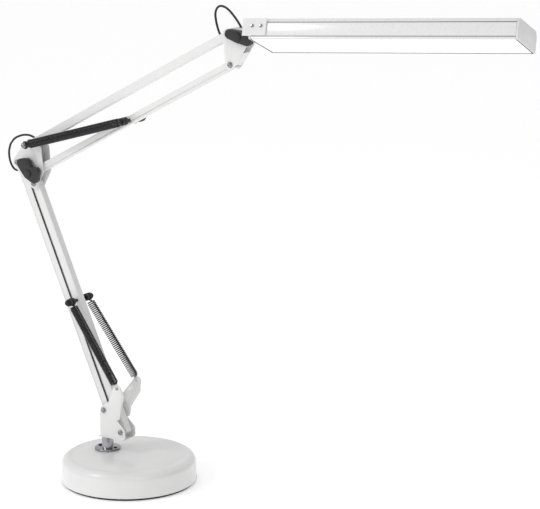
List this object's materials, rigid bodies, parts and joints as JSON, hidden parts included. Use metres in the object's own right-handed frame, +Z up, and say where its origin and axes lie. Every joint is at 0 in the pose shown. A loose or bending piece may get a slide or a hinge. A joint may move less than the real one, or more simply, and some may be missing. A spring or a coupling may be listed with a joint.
{
  "type": "swing arm desk lamp",
  "caption": "Balanced-arm desk lamp: weighted round base, two parallelogram arms of square tube with springs, and a long flat tilting LED head.",
  "frame": {"origin": "centre of the base's underside", "axes": "+Z up; +X in the plane of the arms, towards the head; +Y along the arm pivots"},
  "size_m": [0.8203, 0.2, 0.7151],
  "materials": {
    "white_paint": "smooth white powder coat",
    "white_aluminium": "white lacquered extrusion",
    "chrome": "bright plated",
    "black_steel": "black oxide",
    "spring_steel": "dark close wound wire",
    "black_plastic": "satin moulded",
    "black_cable": "soft jacket",
    "cast_iron": "raw casting",
    "base_pad": "flat non-slip pad",
    "bush_plastic": "acetal",
    "grey_plastic": "satin moulded",
    "opal_diffuser": "opal sheet",
    "led_board": "white solder mask"
  },
  "bodies": {
    "base": {"base_cover": "white_paint", "base_weight": "cast_iron", "base_pad": "base_pad", "post_flange": "chrome", "flange_screw_1": "black_steel", "flange_screw_2": "black_steel"},
    "post": {"post_spindle": "chrome", "lower_bracket": "white_paint", "lower_rear_pin": "chrome", "lower_front_pin": "chrome"},
    "lower_rear": {"lower_rear_tube": "white_paint", "lower_rear_tube_bush_1": "bush_plastic", "lower_rear_tube_bush_2": "bush_plastic"},
    "lower_front": {"lower_front_tube": "white_paint", "lower_front_tube_bush_1": "bush_plastic", "lower_front_tube_bush_2": "bush_plastic", "lower_spring_pin": "black_steel", "lower_spring_spool_near": "black_plastic", "lower_spring_spool_far": "black_plastic"},
    "lower_springs": {"lower_coil_near": "spring_steel", "lower_coil_far": "spring_steel"},
    "lower_spring_ends": {"lower_coil_ring_near": "spring_steel", "lower_coil_ring_far": "spring_steel"},
    "elbow": {"elbow_bracket": "white_paint", "elbow_rear_pin": "chrome", "elbow_front_pin": "chrome", "elbow_top_pin": "chrome", "elbow_low_pin": "chrome", "elbow_spool_near": "black_plastic", "elbow_spool_far": "black_plastic", "elbow_cable": "black_cable"},
    "elbow_knob": {"elbow_knob": "black_plastic"},
    "upper_top": {"upper_top_tube": "white_paint", "upper_top_tube_bush_1": "bush_plastic", "upper_top_tube_bush_2": "bush_plastic"},
    "upper_low": {"upper_low_tube": "white_paint", "upper_low_tube_bush_1": "bush_plastic", "upper_low_tube_bush_2": "bush_plastic", "upper_spring_pin": "black_steel", "upper_spring_spool_near": "black_plastic", "upper_spring_spool_far": "black_plastic"},
    "upper_springs": {"upper_coil_near": "spring_steel", "upper_coil_far": "spring_steel"},
    "upper_spring_ends": {"upper_coil_ring_near": "spring_steel", "upper_coil_ring_far": "spring_steel"},
    "head_bracket": {"head_bracket": "white_paint", "head_top_pin": "chrome", "head_low_pin": "chrome", "tilt_bolt": "chrome", "head_cable": "black_cable"},
    "head_knob": {"head_knob": "black_plastic"},
    "tilt": {"head_knuckle": "black_plastic"},
    "head": {"left_end_cap": "grey_plastic", "right_end_cap": "grey_plastic", "head_housing": "white_aluminium", "diffuser": "opal_diffuser", "led_board": "led_board", "head_mount": "white_paint", "mount_screw_1": "chrome", "mount_screw_2": "chrome"}
  },
  "joints": [
    {"name": "post_swivel", "type": "hinge", "parent": "base", "child": "post", "pos_m": [-0.0385, 0, 0.0632], "axis": [0, 0, 1], "range_deg": [-160, 160]},
    {"name": "lower_arm_swing", "type": "hinge", "parent": "post", "child": "lower_rear", "pos_m": [-0.035, 0, 0.105], "axis": [0, 1, 0], "range_deg": [-4, 45]},
    {"name": "lower_front_swing", "type": "hinge", "parent": "post", "child": "lower_front", "pos_m": [-0.005, 0, 0.0755], "axis": [0, 1, 0], "range_deg": [-4, 45]},
    {"name": "elbow_level", "type": "hinge", "parent": "lower_rear", "child": "elbow", "pos_m": [-0.18847, 0, 0.46136], "axis": [0, 1, 0], "range_deg": [-45, 4], "deforming": ["elbow_cable"]},
    {"name": "upper_arm_swing", "type": "hinge", "parent": "elbow", "child": "upper_top", "pos_m": [-0.16397, 0, 0.49056], "axis": [0, 1, 0], "range_deg": [-22, 50]},
    {"name": "upper_low_swing", "type": "hinge", "parent": "elbow", "child": "upper_low", "pos_m": [-0.15977, 0, 0.44896], "axis": [0, 1, 0], "range_deg": [-22, 50]},
    {"name": "head_bracket_level", "type": "hinge", "parent": "upper_top", "child": "head_bracket", "pos_m": [0.18326, 0, 0.67247], "axis": [0, 1, 0], "range_deg": [-50, 22], "deforming": ["head_cable"]},
    {"name": "lower_spring_swing", "type": "hinge", "parent": "post", "child": "lower_springs", "pos_m": [-0.001, 0, 0.1465], "axis": [0, 1, 0], "range_deg": [-7, 68]},
    {"name": "lower_spring_stretch", "type": "slide", "parent": "lower_springs", "child": "lower_spring_ends", "axis": [-0.5872, 0, 0.8094], "range_m": [-0.018, 0.003], "deforming": ["lower_coil_near", "lower_coil_far", "lower_coil_ring_near", "lower_coil_ring_far"]},
    {"name": "upper_spring_swing", "type": "hinge", "parent": "elbow", "child": "upper_springs", "pos_m": [-0.16397, 0, 0.49056], "axis": [0, 1, 0], "range_deg": [-23, 51]},
    {"name": "upper_spring_stretch", "type": "slide", "parent": "upper_springs", "child": "upper_spring_ends", "axis": [0.9636, 0, 0.2675], "range_m": [-0.017, 0.036], "deforming": ["upper_coil_near", "upper_coil_far", "upper_coil_ring_near", "upper_coil_ring_far"]},
    {"name": "head_tilt", "type": "hinge", "parent": "head_bracket", "child": "tilt", "pos_m": [0.20706, 0, 0.67147], "axis": [0, 1, 0], "range_deg": [-45, 50]},
    {"name": "head_roll", "type": "hinge", "parent": "tilt", "child": "head", "pos_m": [0.20706, 0, 0.67147], "axis": [0.9892, 0.139, 0.0454], "range_deg": [-70, 70]},
    {"name": "elbow_knob_turn", "type": "hinge", "parent": "elbow", "child": "elbow_knob", "pos_m": [-0.15977, 0, 0.44896], "axis": [0, 1, 0], "range_deg": [-110, 20]},
    {"name": "head_knob_turn", "type": "hinge", "parent": "head_bracket", "child": "head_knob", "pos_m": [0.20706, 0, 0.67147], "axis": [0, 1, 0], "range_deg": [-90, 90]}
  ],
  "couplings": [
    {"joint": "lower_front_swing", "follows": "lower_arm_swing", "ratio": 1},
    {"joint": "elbow_level", "follows": "lower_arm_swing", "ratio": -1},
    {"joint": "lower_spring_swing", "follows": "lower_arm_swing", "ratio": 1.475},
    {"joint": "lower_spring_stretch", "follows": "lower_arm_swing", "m_per_rad": -0.018},
    {"joint": "upper_low_swing", "follows": "upper_arm_swing", "ratio": 1},
    {"joint": "head_bracket_level", "follows": "upper_arm_swing", "ratio": -1},
    {"joint": "upper_spring_swing", "follows": "upper_arm_swing", "ratio": 1},
    {"joint": "upper_spring_stretch", "follows": "upper_arm_swing", "m_per_rad": 0.0385}
  ]
}
